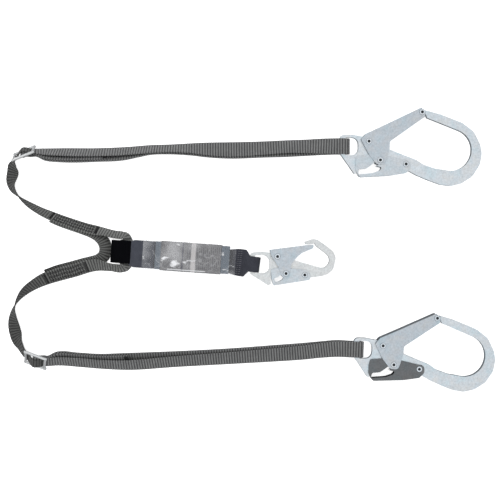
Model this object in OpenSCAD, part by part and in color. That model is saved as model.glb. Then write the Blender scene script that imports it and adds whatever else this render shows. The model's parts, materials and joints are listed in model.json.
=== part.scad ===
// Twin-leg shock absorbing lanyard: two adjustable webbing legs with large
// self-locking hooks, one energy absorber pack and one small snap hook.
// Units are millimetres, +Z is up, and the lanyard lies on the plane Z = 0.

/* [Webbing] */
// Width of the leg webbing
strap_w = 25; // [22:0.5:30]
// Thickness of the leg webbing
strap_t = 2; // [1.6:0.1:2.4]
// Gap between webbing layers that lie on each other
layer_gap = 0.4; // [0.3:0.1:0.8]
// Side clearance of webbing in an eye or a slide
strap_clear = 0.9; // [0.6:0.1:2]

/* [Large hooks] */
// Thickness of the large hook's forged body
big_body_t = 8; // [6.5:0.5:10]
// Inner radius of the large hook's bend
big_bend_r = 33; // [30:1:36]
// Gate opening angle of the large hook
big_gate_open = 35; // [30:1:36]
// How far the large hook's lever is squeezed, in degrees
big_lever_press = 10; // [8:0.5:11]

/* [Snap hook] */
// Thickness of the snap hook's forged body
small_body_t = 7; // [6:0.5:8.5]
// Inner radius of the snap hook's bend
small_bend_r = 12; // [11:0.5:13]
// Gate opening angle of the snap hook
small_gate_open = 26; // [18:1:26]
// How far the snap hook's lever is squeezed, in degrees
small_lever_press = 9; // [7:0.5:10]

/* [Sheet parts and rivets] */
// Thickness of the pressed gates and levers
sheet_t = 1.8; // [1.4:0.1:2.2]
// Clearance between stacked plates
plate_gap = 0.25; // [0.2:0.05:0.5]
// Radius of the rivet shanks
rivet_r = 3; // [2.4:0.1:3.3]
// Radius of the rivet heads
rivet_head_r = 4.8; // [4:0.1:5.4]
// Height of the rivet heads
rivet_head_h = 1.4; // [1:0.1:2]
// Running clearance of a rivet in its hole
rivet_fit = 0.05; // [0.02:0.01:0.1]
// Wire diameter of the springs
spring_wire = 1; // [0.8:0.1:1.2]

/* [Slides] */
// Bar and rail diameter of the adjuster slides
slide_bar_d = 4; // [3.2:0.2:4.6]
// Distance from the centre bar to an outer bar
slide_pitch = 16; // [15:0.5:19]

/* [Absorber] */
// Length of the absorber's clear sleeve
sleeve_len = 147; // [120:1:170]
// Width of the absorber's tear webbing
pack_w = 44; // [40:1:50]
// Thickness of the whole absorber pack
pack_h = 24; // [22:0.5:28]
// Thickness of the absorber's webbing
pack_web_t = 2.2; // [1.8:0.1:2.6]
// Layers of folded tear webbing
core_layers = 7; // [5:2:9]
// Wall of the clear film sleeve
film_t = 0.4; // [0.3:0.05:0.6]

/* [Hidden] */
$fn = 48;
steel = "lightsteelblue";
webbing = "dimgray";
thread = "black";

// ---- small maths ----
function unit(v) = v / norm(v);
function turn(v, a) = [v.x * cos(a) - v.y * sin(a), v.x * sin(a) + v.y * cos(a)];
function pol(c, r, a) = c + r * [cos(a), sin(a)];
function arc(c, r, from, to, n = 10) = [for (i = [0 : n]) pol(c, r, from + (to - from) * i / n)];
// One corner of an outline, rounded to radius r as far as its sides allow.
function corner(a, b, c, r, n = 5) =
    let (u = unit(a - b), v = unit(c - b), half = acos(max(-1, min(1, u * v))) / 2)
    half > 87 ? [b] :
    let (reach = min(r / tan(half), 0.48 * min(norm(a - b), norm(c - b))))
    let (rr = reach * tan(half), mid = b + unit(u + v) * rr / sin(half))
    let (start = b + u * reach - mid, stop = b + v * reach - mid)
    let (sweep = atan2(cross(start, stop), start * stop))
    [for (i = [0 : n]) mid + turn(start, sweep * i / n)];
// A closed outline from corners [x, y, radius].
function rounded(k) =
    let (n = len(k))
    [for (i = [0 : n - 1])
        let (a = k[(i + n - 1) % n], b = k[i], c = k[(i + 1) % n])
        each (b[2] == 0 ? [[b.x, b.y]] : corner([a.x, a.y], [b.x, b.y], [c.x, c.y], b[2]))];
// A band of thickness t along a flat path.
function band(p, t) =
    let (n = len(p))
    let (side = [for (i = [0 : n - 1])
        let (d = unit(p[min(i + 1, n - 1)] - p[max(i - 1, 0)])) [-d.y, d.x] * t / 2])
    concat([for (i = [0 : n - 1]) p[i] + side[i]],
        [for (i = [n - 1 : -1 : 0]) p[i] - side[i]]);
// The three directions of a piece turned by yaw, tipped down in front by tilt and rolled.
function frame(yaw, tilt, roll) =
    [for (v = [[cos(tilt), 0, -sin(tilt)],
               [sin(tilt) * sin(roll), cos(roll), cos(tilt) * sin(roll)],
               [sin(tilt) * cos(roll), -sin(roll), cos(tilt) * cos(roll)]])
        let (h = turn([v.x, v.y], yaw)) [h.x, h.y, v.z]];

// ---- webbing and wire that follow a route ----
// A station is [x, y, z, then the unit direction across the webbing].
function at(st) = [st[0], st[1], st[2]];
function across(st) = [st[3], st[4], st[5]];
// A laid point [x, y, tilt, lift] stands on its lower edge at that tilt, raised by lift.
// The tilt passes 90 where the webbing half-twists. The leg is 1 or -1.
function laid(p, leg) =
    let (n = len(p))
    [for (i = [0 : n - 1])
        let (a = p[max(i - 1, 0)], b = p[min(i + 1, n - 1)], h = atan2(b[1] - a[1], b[0] - a[0]))
        let (tilt = p[i][2])
        [p[i][0], p[i][1],
            strap_w / 2 * abs(sin(tilt)) + strap_t / 2 * abs(cos(tilt)) + p[i][3],
            -leg * sin(h) * cos(tilt), leg * cos(h) * cos(tilt), sin(tilt)]];
// Points [along, above] in a frame, as stations with a fixed direction across.
function held(p, c, along, above, side) =
    [for (q = p) let (v = c + along * q.x + above * q.y) [v.x, v.y, v.z, side.x, side.y, side.z]];
// A smooth line through the stations, k steps to a stretch longer than its limit.
function smooth(p, k = 2, limit = 6) =
    let (n = len(p))
    let (d = [for (i = [0 : n - 2]) norm(at(p[i + 1]) - at(p[i]))])
    let (m = [for (i = [0 : n - 1])
        i == 0 ? (p[1] - p[0]) / d[0] : i == n - 1 ? (p[n - 1] - p[n - 2]) / d[n - 2] :
        ((p[i] - p[i - 1]) / d[i - 1] * d[i] + (p[i + 1] - p[i]) / d[i] * d[i - 1])
            / (d[i - 1] + d[i])])
    [for (i = [0 : n - 2], j = [0 : (d[i] > limit ? k : 1) - 1])
        let (t = j / (d[i] > limit ? k : 1), u = 1 - t)
        p[i] * (1 + 2 * t) * u * u + m[i] * d[i] * t * u * u
            + p[i + 1] * t * t * (3 - 2 * t) - m[i + 1] * d[i] * t * t * u,
        p[n - 1]];
// Stations moved sideways and off the face, for webbing sewn beside webbing.
function beside(st, off, over = 0) =
    let (n = len(st))
    [for (i = [0 : n - 1])
        let (along = unit(at(st[min(i + 1, n - 1)]) - at(st[max(i - 1, 0)])))
        let (s = unit(across(st[i]) - along * (across(st[i]) * along)))
        let (v = at(st[i]) + s * over + cross(along, s) * off)
        [v.x, v.y, v.z, s.x, s.y, s.z]];
// A closed solid through rings of m points each.
module skin(ring, m) {
    n = len(ring) / m;
    polyhedron(ring, concat(
        [[for (k = [0 : m - 1]) k]],
        [for (i = [0 : n - 2], k = [0 : m - 1])
            each [[m * i + k, m * i + m + k, m * i + m + (k + 1) % m],
                  [m * i + k, m * i + m + (k + 1) % m, m * i + (k + 1) % m]]],
        [[for (k = [m - 1 : -1 : 0]) m * (n - 1) + k]]), convexity = 10);
}
module ribbon(st, w, t) {
    n = len(st);
    skin([for (i = [0 : n - 1])
        let (along = unit(at(st[min(i + 1, n - 1)]) - at(st[max(i - 1, 0)])))
        let (s = unit(across(st[i]) - along * (across(st[i]) * along)), up = cross(along, s))
        each [for (c = [[-1, -1], [-1, 1], [1, 1], [1, -1]])
            at(st[i]) + s * c.x * w / 2 + up * c.y * t / 2]], 4);
}
module wire(p, r, up = [0, 0, 1], m = 8) {
    n = len(p);
    skin([for (i = [0 : n - 1])
        let (along = unit(p[min(i + 1, n - 1)] - p[max(i - 1, 0)]))
        let (s = unit(cross(up, along)), u = cross(along, s))
        each [for (k = [0 : m - 1]) p[i] + s * r * cos(360 * k / m) - u * r * sin(360 * k / m)]], m);
}
// Thread that zigzags across the face of webbing.
module zigzag(st, off, amp) {
    side = [for (i = [0 : len(st) - 1]) beside(st, off, amp * (i % 2 == 0 ? 1 : -1))[i]];
    wire([for (s = side) at(s)], thread_r, cross(at(st[1]) - at(st[0]), across(st[0])), 6);
}

// ---- hooks ----
// Sizes that differ between the large hooks and the small one.
function body_t(big) = big ? big_body_t : small_body_t;
function lever_z(big) = body_t(big) / 2 + plate_gap;
function gate_z(big) = lever_z(big) + sheet_t + plate_gap;
function reach_z(big) = gate_z(big) + sheet_t + rivet_head_h + fit_gap;
function open_a(big) = big ? big_gate_open : small_gate_open;
function press_a(big) = big ? big_lever_press : small_lever_press;
function eye_h(big) = strap_w / 2 + strap_clear + (big ? 0.5 : 1.1);
function gate_pin(big) = big ? [41.6, 7.8] : [39.2, 12.2];
function lock_pin(big) = big ? [59.9, -21.7] : [52.6, -14.7];
function lever_pin(big) = big ? [101.2, -27.8] : [82.6, -17.1];
function bend_c(big) = big ? [173.5, -5] : [110, 6.5];
function bend_r(big) = big ? big_bend_r : small_bend_r;
fit_gap = 0.02;
pin_slack = 0.3;
thread_r = 0.35;
tip_pin = [126, 54.2];

// The forged outline: nose, bend and shank, then the notch for the lock pin, the guard
// wing beside the lever, the webbing eye and the gate's boss.
function body_outline(big) =
    let (c = bend_c(big), r = bend_r(big), h = eye_h(big), l = lock_pin(big))
    let (stop = l.x + rivet_r + pin_slack)
    big ? rounded(concat([
        [130.1, 58.1, 1.5], [156.2, 51.2, 30], [190.9, 38.2, 20], [209.9, 24.3, 20],
        [220.3, 3.5, 20], [222.9, -10.4, 20], [220.3, -27.8, 20], [208.2, -46.8, 20],
        [190.9, -58.1, 20], [173.5, -62.5, 20], [156.2, -59.9, 20], [138.8, -53.8, 20],
        [118, -45.1, 20], [107, -39, 12], [96, -35.5, 10], [stop, -31, 2.5], [stop, -16, 3],
        [22.5, -16, 1.5], [22.5, -42, 1.5], [19.6, -44, 2], [-3.9, -10.5, 5],
        [-3.9, h + 4.7, 7], [15, h + 4.7, 9], [33, 15.4, 8], [44, 16.8, 6], [54, 10.5, 8],
        [70, -2.5, 8], [76.3, -5.2, 8], [104.1, -15.6, 20], [118, -20.8, 20],
        [130.1, -28.6, 20], [149.2, -34.9, 20]],
        [for (q = [pol(c, r + 0.1, -107)]) [q.x, q.y, 0]],
        [for (a = [-102, -80, -50, -20, 10, 40, 68]) let (q = pol(c, r * 0.88, a)) [q.x, q.y, 0]],
        [for (q = [pol(c, r + 0.1, 73)]) [q.x, q.y, 0]],
        [[156.2, 37.3, 20], [134.7, 45.6, 1.5]]))
    : rounded(concat([
        [82.6, 35.5, 1.5], [96.7, 40.3, 8], [104, 38.6, 8], [116.3, 30, 10], [128.5, 20.2, 8],
        [132.8, 10.4, 10], [128.5, -8, 12], [120, -15.9, 10], [110.2, -19, 12],
        [91.2, -21.4, 12], [75, -20.4, 6], [stop, -20.4, 2], [stop, -11.2, 2.5],
        [28.8, -11.2, 1.5], [28.8, -31, 2], [25, -34, 2.5], [1.8, -h - 4.6, 6],
        [-3.6, -h - 0.5, 4], [-3.6, h + 3.4, 6], [8, h + 5.2, 8], [20, h + 5.2, 8],
        [30, 17.6, 6], [41, 20.4, 6], [50, 16, 8], [58, 9, 8], [67.3, 5.8, 6],
        [91.8, -1, 10]],
        [for (q = [pol(c, r + 0.05, -100)]) [q.x, q.y, 0]],
        [for (a = [-88, -55, -20, 15, 40]) let (q = pol(c, r * 0.82, a)) [q.x, q.y, 0]],
        [for (q = [pol(c, r + 0.05, 48)]) [q.x, q.y, 0]],
        [[101.4, 28.4, 3], [98.6, 33.6, 1], [96.5, 32.4, 1], [84.2, 31.4, 1]]));
module hook_body(big) {
    t = body_t(big);
    h = eye_h(big);
    x = big ? 3.9 : 3.6;
    e = big ? 25.4 : 27;
    difference() {
        translate([0, 0, -t / 2]) linear_extrude(t) polygon(body_outline(big));
        translate([0, 0, -t / 2 - 1]) linear_extrude(t + 2)
            polygon(rounded([[x, h, 2.5], [e, h, 13], [e, -h, 13], [x, -h, 2.5]]));
        for (p = [gate_pin(big), lever_pin(big)])
            translate([p.x, p.y, -t / 2 - 1]) cylinder(r = rivet_r + rivet_fit, h = t + 2);
        translate([bend_c(big).x, bend_c(big).y, -t / 2 - 1]) cylinder(r = bend_r(big), h = t + 2);
    }
}
// Two plates and the web that joins them, folded from one sheet.
module channel(outline, web, z, bores, slots = []) {
    difference() {
        union() {
            for (s = [-1, 1]) translate([0, 0, s > 0 ? z : -z - sheet_t])
                linear_extrude(sheet_t) polygon(outline);
            translate([0, 0, -z - sheet_t / 2]) linear_extrude(2 * z + sheet_t) polygon(web);
        }
        for (p = bores) translate([p.x, p.y, -z - sheet_t - 1])
            cylinder(r = rivet_r + fit_gap, h = 2 * (z + sheet_t + 1));
        for (s = slots) translate([0, 0, -z - sheet_t - 1])
            linear_extrude(2 * (z + sheet_t + 1)) polygon(s);
    }
}
function gate_outline(big) = big ? rounded([
    [124.9, 61.6, 2], [66, 33.4, 20], [36.4, 19.6, 3], [29.5, 10.4, 3], [42.5, -13.9, 12],
    [54, -28, 6], [66.5, -29.5, 6], [70.3, -19.1, 10], [74.6, -3.5, 10], [75, 7.5, 5],
    [130.4, 46.6, 1.2], [131.4, 52.8, 3]])
    : rounded([
    [27.5, 23.0, 2], [27.5, 20.5, 2], [30.6, 10.4, 4], [35.5, 4.3, 6], [40.4, -4.3, 8],
    [45, -17, 6], [49, -22, 5], [58, -22.5, 5], [59.5, -11.6, 8], [61.2, 0.6, 6],
    [67.3, 8, 4], [72.2, 12.9, 6], [78.3, 17.7, 10], [95.5, 25.1, 2], [97, 30.6, 1.5],
    [85.7, 30.2, 10]]);
function gate_web(big) = band(big
    ? [[37.6, 19.2], [66, 32.4], [123.5, 59.9]]
    : [[28.6, 22.2], [85.7, 29.3], [95.6, 29.7]], sheet_t);
module hook_gate(big) {
    channel(gate_outline(big), gate_web(big), gate_z(big),
        concat([gate_pin(big), lock_pin(big)], big ? [tip_pin] : []));
}
// Where the lock pin travels, seen from the lever, as the gate opens and the lever is
// squeezed at the same rate.
function pin_path(big) =
    let (p = gate_pin(big), v = lever_pin(big), l = lock_pin(big))
    [for (i = [0 : 8])
        v + turn(p + turn(l - p, -open_a(big) * i / 8) - v, press_a(big) * i / 8)];
function lever_outline(big) = big ? rounded([
    [22.6, -14.5, 4], [50, -12, 4], [75, -15.5, 12], [98, -20.6, 8], [109.4, -22, 7.8],
    [109.4, -34, 7.8], [101.5, -42, 4], [76.3, -46.2, 20], [27.8, -48.8, 5],
    [20.6, -37, 8], [20.6, -24, 10]])
    : rounded([
    [28.8, -8, 3], [40, -5.5, 4], [70, -7.5, 8], [88, -9.5, 6], [91.8, -17, 6],
    [90.8, -25, 2.5], [33.4, -33.9, 2.5], [30, -23.9, 6]]);
function finger_slot(big) = big ? rounded([
    [25.2, -40.8, 2], [27, -36, 2.5], [34.7, -35.2, 4], [48.6, -33.3, 6], [54.7, -31.2, 2],
    [63.5, -33.2, 2], [59, -38.2, 4], [48.6, -42, 6], [26, -44.4, 2]])
    : rounded([
    [33, -22.6, 2.5], [41, -20.2, 3], [50.5, -22.4, 2], [44, -26.4, 3], [37.2, -28.6, 2.5]]);
function lever_web(big) = band(big
    ? [[29, -47.8], [76.3, -45.3], [100.2, -40.9]]
    : [[34.4, -32.9], [89.8, -24.2]], sheet_t);
module hook_lever(big) {
    p = pin_path(big);
    r = rivet_r + pin_slack;
    channel(lever_outline(big), lever_web(big), lever_z(big), [lever_pin(big)],
        [finger_slot(big), band(p, 2 * r), arc(p[0], r, 0, 345, 23), arc(p[8], r, 0, 345, 23)]);
}
// A semi-tubular rivet from -z to z, with its hollow end on top.
module rivet(p, z) {
    z1 = z + fit_gap;
    z2 = z1 + rivet_head_h;
    hr = rivet_head_r;
    translate([p.x, p.y, 0]) rotate_extrude() polygon([
        [0, -z2], [hr - 0.6, -z2], [hr, -z2 + 0.6], [hr, -z1], [rivet_r, -z1], [rivet_r, z1],
        [hr, z1], [hr, z2 - 0.6], [hr - 0.6, z2],
        [2.4, z2], [1.8, z2 - 0.6], [1.8, z2 - 2.4], [0, z2 - 3]]);
}
// Torsion spring: one turn between the body and the gate's plate, with two legs.
module gate_spring(big) {
    p = gate_pin(big);
    r = rivet_r + spring_wire / 2 + 0.6;
    z0 = body_t(big) / 2 + spring_wire / 2 + 0.12;
    z1 = gate_z(big) - spring_wire / 2 - 0.12;
    a0 = big ? -125 : -115;
    wire(concat(
        [for (q = [pol(p, r, a0) + pol([0, 0], 9, a0 - 90)]) [q.x, q.y, z0]],
        [for (i = [0 : 30]) let (q = pol(p, r, a0 + 12 * i)) [q.x, q.y, z0 + (z1 - z0) * i / 30]],
        [for (q = [pol(p, r, a0) + pol([0, 0], 7, a0 + 90)]) [q.x, q.y, z1]]),
        spring_wire / 2);
}
// Compression spring between the body's lower edge and the lever's web.
function lever_spring_x(big) = big ? 80 : 66;
function lever_spring_y(big) = big ? [-33.9, -42.8] : [-20.8, -26.6];
module lever_spring(big) {
    x = lever_spring_x(big);
    y = lever_spring_y(big);
    r = body_t(big) / 2 - spring_wire / 2 - 0.4;
    w = spring_wire / 2;
    turns = big ? 4 : 2.5;
    n = turns * 12;
    wire([for (i = [0 : n])
        let (a = 360 * turns * i / n)
        [x + r * cos(a), y[0] - w - (y[0] - y[1] - 2 * w) * i / n, r * sin(a)]], w, [0, 1, 0], 6);
}

// ---- where everything lies ----
// Puts the middle of the whole lanyard's box over the origin.
module placed() { translate([0.8, -0.4, 0]) children(); }
big_tilt = 2;
big_roll = 1.8;
small_tilt = 2.8;
big_bar_z = reach_z(true) + 3.25;
upper_hook_at = [145, 164.5, big_bar_z];
lower_hook_at = [167, -156.8, big_bar_z];
upper_yaw = 0;
lower_yaw = -2;
module upper_hook() {
    translate(upper_hook_at) rotate([big_roll, big_tilt, upper_yaw]) children();
}
module lower_hook() {
    translate(lower_hook_at) rotate([big_roll, big_tilt, lower_yaw]) children();
}

// The absorber lies along its own line, from the left end of its sleeve.
pack_at = [-170, -6.2];
pack_yaw = -4;
loop_tilt = 35;
loop_in = (strap_w * sin(loop_tilt) + strap_t * cos(loop_tilt)) / 2 + 0.8;
keeper_t = 1.2;
pack_height = max(pack_h, 2 * (loop_in + pack_web_t + film_t + 0.3));
pack_mid = max(pack_height / 2, loop_in + pack_web_t + 0.3 + keeper_t);
nose_x = -39;
hook_loop_yaw = -3.5;
hook_loop_bar = 30.4;
hook_loop_in = 5.6;
hook_loop_at = [sleeve_len - 3.5, -1.9];
label_t = 0.3;
core_from = 18.8;
core_to = sleeve_len - 22;
snap_xy = pack_at + turn(hook_loop_at + turn([hook_loop_bar, 0], hook_loop_yaw), pack_yaw);
snap_yaw = 0;
module snap_hook() {
    translate([snap_xy.x, snap_xy.y, pack_mid]) rotate([0, small_tilt, snap_yaw]) children();
}
module in_pack() {
    translate([pack_at.x, pack_at.y, pack_mid]) rotate([0, 0, pack_yaw]) children();
}
// Draws a side view (x along, y up) as webbing w wide, centred on the line.
module sideways(w) {
    rotate([90, 0, 0]) translate([0, 0, -w / 2]) linear_extrude(w) children();
}
module absorber_leg_loop() {
    r = loop_in + pack_web_t / 2;
    intersection() {
        sideways(pack_w) polygon(band(concat([[core_from - 0.5, r]],
            arc([nose_x, 0], r, 90, 270, 16), [[core_from - 0.5, -r]]), pack_web_t));
        translate([0, 0, -40]) linear_extrude(80) polygon([
            [-60, 15], [-24, 15], [-16, pack_w / 2], [core_from, pack_w / 2],
            [core_from, -pack_w / 2], [-16, -pack_w / 2], [-24, -15], [-60, -15]]);
    }
}
module keeper_pad() {
    r = loop_in + pack_web_t + 0.3 + keeper_t / 2;
    translate([0, 1.5, 0]) sideways(36) polygon(band(
        concat([[-19, r]], arc([nose_x, 0], r, 90, 270, 16), [[-19, -r]]), keeper_t));
}
// The tear webbing, folded back and forth.
module absorber_core() {
    tall = pack_height - 2 * (film_t + label_t + 0.6);
    pitch = (tall - pack_web_t) / (core_layers - 1);
    end = pitch / 2 + pack_web_t / 2;
    sideways(pack_w) difference() {
        union() {
            for (i = [0 : core_layers - 1]) translate([core_from + end, i * pitch - tall / 2])
                square([core_to - core_from - 2 * end, pack_web_t]);
            for (i = [0 : core_layers - 2])
                translate([i % 2 == 0 ? core_to - end : core_from + end,
                    (i + 0.5) * pitch + pack_web_t / 2 - tall / 2]) intersection() {
                    circle(r = end);
                    translate([i % 2 == 0 ? 0 : -2 * end, -end]) square([2 * end, 2 * end]);
                }
        }
        for (i = [0 : core_layers - 2])
            translate([i % 2 == 0 ? core_to - end : core_from + end,
                (i + 0.5) * pitch + pack_web_t / 2 - tall / 2])
                circle(r = (pitch - pack_web_t) / 2, $fn = 24);
    }
}
module sleeve_shape(grow) {
    w = pack_w + 4 - 2 * grow;
    h = pack_height - 2 * grow;
    r = 2.6 - grow;
    polygon(rounded([[-w / 2, -h / 2, r], [w / 2, -h / 2, r], [w / 2, h / 2, r], [-w / 2, h / 2, r]]));
}
module tube_shape(from, to, grow, wall) {
    translate([from, 0, 0]) rotate([90, 0, 90]) linear_extrude(to - from) difference() {
        sleeve_shape(grow);
        sleeve_shape(grow + wall);
    }
}
module absorber_hook_loop() {
    r = hook_loop_in + pack_web_t / 2;
    b = hook_loop_bar;
    z = pack_web_t / 2 + 0.2;
    narrow = eye_h(false) - 1.9;
    translate([hook_loop_at.x, hook_loop_at.y, 0]) rotate([0, 0, hook_loop_yaw]) intersection() {
        sideways(pack_w) polygon(band(concat([[-15, z], [b - 19, z], [b - 17, z + 0.5]],
            [[b - 10.5, r - 0.4], [b - 8, r]],
            arc([b + 4, 0], r, 90, -90, 16),
            [[b - 8, -r], [b - 10.5, -r + 0.4], [b - 17, -z - 0.5], [b - 19, -z], [-15, -z]]),
            pack_web_t));
        translate([0, 0, -40]) linear_extrude(80) polygon([
            [-16, 18], [4, pack_w / 2 - 1], [b - 10.5, pack_w / 2], [b - 5, narrow],
            [b + 20, narrow - 1], [b + 20, 1 - narrow], [b - 5, -narrow], [b - 10.5, -pack_w / 2],
            [4, 1 - pack_w / 2], [-16, -18]]);
    }
}
module hook_loop_stitching() {
    z = pack_web_t + 0.2 + thread_r + 0.1;
    translate([hook_loop_at.x, hook_loop_at.y, 0]) rotate([0, 0, hook_loop_yaw])
        wire([for (i = [0 : 11]) [7 + 3.8 * (i % 2), -18.5 + 3.3 * i, z]], thread_r, [0, 0, 1], 6);
}

// Slides: [centre x, y, heading, lean, lift]. The webbing under a slide holds it up.
bar_r = slide_bar_d / 2;
rail_r = bar_r + 0.25;
rail_s = strap_w / 2 + strap_clear + rail_r;
rail_l = slide_pitch + bar_r + 1;
upper_slide_seat = [-358.5, 153.5, 21.5, 66, 0.3];
lower_slide_seat = [-340.5, -174.2, -20, 52, 1.8];
function slide_c(k) = [k[0], k[1], rail_s * sin(k[3]) + rail_r + k[4]];
function slide_u(k) = [cos(k[2]), sin(k[2]), 0];
function slide_s(k, leg) =
    [leg * sin(k[2]) * cos(k[3]), -leg * cos(k[2]) * cos(k[3]), sin(k[3])];
function slide_n(k, leg) =
    [-leg * sin(k[2]) * sin(k[3]), leg * cos(k[2]) * sin(k[3]), cos(k[3])];
module slide(k, leg) {
    c = slide_c(k);
    u = slide_u(k);
    s = slide_s(k, leg);
    n = cross(u, s);
    multmatrix([[u.x, s.x, n.x, c.x], [u.y, s.y, n.y, c.y], [u.z, s.z, n.z, c.z], [0, 0, 0, 1]])
        union() {
            for (i = [-1, 0, 1]) translate([i * slide_pitch, -rail_s, 0]) rotate([-90, 0, 0])
                cylinder(r = bar_r, h = 2 * rail_s);
            for (i = [-1, 1]) translate([0, i * rail_s, 0]) rotate([0, 90, 0])
                rotate_extrude() polygon([[0, -rail_l], [rail_r - 0.8, -rail_l],
                    [rail_r, 0.8 - rail_l], [rail_r, rail_l - 0.8], [rail_r - 0.8, rail_l],
                    [0, rail_l]]);
        }
}
// Radii of the webbing layers round a bar: next to it, one layer out, two layers out.
lay1 = bar_r + layer_gap + strap_t / 2;
lay2 = lay1 + strap_t + layer_gap;
lay3 = lay2 + strap_t + layer_gap;
run_thread = concat(
    [pol([-slide_pitch, 0], lay1, -90), pol([-slide_pitch, 0], lay1, -58)],
    [pol([0, 0], lay2, 122), pol([0, 0], lay2, 90), pol([0, 0], lay2, 58)],
    [pol([slide_pitch, 0], lay1, -122), pol([slide_pitch, 0], lay1, -90)]);
tail_thread = concat(
    [pol([slide_pitch, 0], lay3, -90), pol([slide_pitch, 0], lay3, -118)],
    [for (a = [-66, -100, -140, -180, -220, -260, -300]) pol([0, 0], lay1, a)],
    [pol([slide_pitch, 0], lay2, -122), pol([slide_pitch, 0], lay2, -90)]);
// The loop of webbing round a hook's eye bar.
bight_in = 6;
bight_r = bight_in + strap_t / 2;
bight = concat([[-9, bight_r], [0, bight_r]], arc([4.3, 0], bight_r, 90, -90, 8),
    [[0, -bight_r], [-9, -bight_r]]);

// ---- the legs ----
// Each leg runs from the absorber's loop to its slide, out to the hook, round the eye
// bar and back to the slide, where its end is sewn round the centre bar.
loop_lift = pack_mid - loop_in + 0.8;
upper_in = [
    [-197, -2.2, loop_tilt, loop_lift], [-197, 11.5, 36, loop_lift - 0.2],
    [-195, 17.5, 62, 1.5], [-198, 24.3, 76, 0.3], [-205.5, 27.2, 76, 0], [-216, 27.4, 70, 0],
    [-229, 28.5, 63, 0],
    [-244, 31.2, 54, 0], [-264, 36, 53, 0], [-285, 42.9, 54, 0], [-300, 48, 55, 0],
    [-315, 54.1, 58, 0], [-334, 62.8, 66, 0], [-351, 72.8, 76, 0], [-363, 81.8, 90, 0],
    [-372, 90.8, 108, 0], [-378.5, 101, 127, 0], [-380, 111, 143, 0.5], [-378, 124, 150, 1],
    [-376, 136, 128, 3]];
upper_out = [
    [-327, 156.5, 118, 0.5], [-300, 156, 124, 0], [-240, 155.8, 126, 0], [-192, 158, 126, 0],
    [-160, 160.2, 126, 2.5], [-127, 161.4, 125, 3], [-94, 161.8, 134, 3], [-67, 161, 150, 3],
    [-32, 160.6, 163, 3], [16, 162.2, 155, 3.5], [60, 164.6, 150, 4.5], [92, 165, 156, 6.5],
    [117, 164.8, 170, 13]];
upper_back = [
    [117, 163.6, 12, 2.4], [92, 161, 26, 0.4], [60, 158.8, 30, 0], [16, 158, 26, 0],
    [-32, 157.5, 17, 0], [-67, 157.8, 30, 0], [-94, 158.4, 46, 0], [-127, 158.6, 55, 0],
    [-160, 157.6, 54, 0], [-180, 153.5, 54, 0], [-200, 149.4, 54, 0], [-240, 147.1, 54, 0],
    [-300, 146.2, 55, 0], [-322, 147.3, 60, 0.4]];
upper_tail = [[-322, 150.5, 120, 0.4], [-300, 149.2, 125, 0], [-262, 149.7, 126, 0],
    [-226, 150.6, 126, 0]];
lower_in = [
    [-197, -2.8, loop_tilt, loop_lift], [-196.6, -18.9, 36, loop_lift - 0.2],
    [-195.5, -24, 62, 1.5], [-198.5, -29.5, 76, 0.3], [-206, -31, 74, 0], [-222, -27, 60, 0],
    [-245, -23.5, 42, 0],
    [-261, -26, 36, 0], [-277, -30.9, 34, 0], [-310, -40, 35, 0], [-325, -45, 40, 0],
    [-342.5, -54, 55, 0], [-357, -64.4, 68, 0], [-368.5, -78.5, 90, 0], [-374.5, -91, 108, 0],
    [-376.5, -103, 127, 0], [-376.5, -119, 148, 0.5], [-373, -135, 152, 1],
    [-366.5, -149, 132, 3]];
lower_out = [
    [-310, -176.6, 126, 0.5], [-272, -178.4, 130, 0], [-240, -181.1, 130, 0],
    [-200, -182.6, 133, 0], [-118, -177, 139, 0], [-32, -171.4, 145, 1.5],
    [40, -166.2, 154, 3], [84, -162.6, 160, 4.5], [112, -159, 166, 7.5],
    [139, -156.6, 174, 13.5]];
lower_back = [
    [139, -155, 8, 2.8], [112, -156.4, 18, 0.8], [84, -158, 26, 0.2], [40, -160.8, 30, 0],
    [-32, -165, 38, 0], [-118, -168.3, 45, 0], [-200, -170.6, 49, 0], [-240, -171.6, 50, 0],
    [-272, -169.6, 50, 0], [-304, -167.4, 52, 0.4]];
lower_tail = [[-304, -170.7, 128, 0.4], [-272, -172.7, 130, 0], [-240, -174.8, 130, 0],
    [-192, -174, 131, 0]];

function bight_of(c, f, leg) = held(bight, c, f[0], f[2], -leg * f[1]);
function run_of(in, out, back, tail, k, c, f, leg) = smooth(concat(
    laid(in, leg), held(run_thread, slide_c(k), slide_u(k), slide_n(k, leg), slide_s(k, leg)),
    laid(out, leg), bight_of(c, f, leg), laid(back, leg),
    held(tail_thread, slide_c(k), slide_u(k), slide_n(k, leg), slide_s(k, leg)),
    laid(tail, leg)));
module upper_leg_strap() {
    ribbon(run_of(upper_in, upper_out, upper_back, upper_tail, upper_slide_seat, upper_hook_at,
        frame(upper_yaw, big_tilt, big_roll), 1), strap_w, strap_t);
}
module lower_leg_strap() {
    ribbon(run_of(lower_in, lower_out, lower_back, lower_tail, lower_slide_seat, lower_hook_at,
        frame(lower_yaw, big_tilt, big_roll), -1), strap_w, strap_t);
}

// The bridge is sewn along the inner side of both legs and rounds off the crotch.
bridge_run = [
    [-315, 51, 122, 0], [-300, 44.8, 125, 0], [-285, 39.6, 126, 0], [-264, 32.5, 127, 0],
    [-250, 27.2, 129, 0], [-239, 20.5, 132, 0], [-232, 11, 133, 0], [-230, 1, 133, 0],
    [-232.5, -8, 134, 0], [-240, -14.8, 137, 0], [-250, -18.6, 141, 0],
    [-261, -21.6, 144, 0], [-277, -26.2, 146, 0], [-310, -35.3, 145, 0], [-324, -40.2, 141, 0]];
module bridge_strap() { ribbon(smooth(laid(bridge_run, 1)), strap_w, strap_t); }

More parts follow.
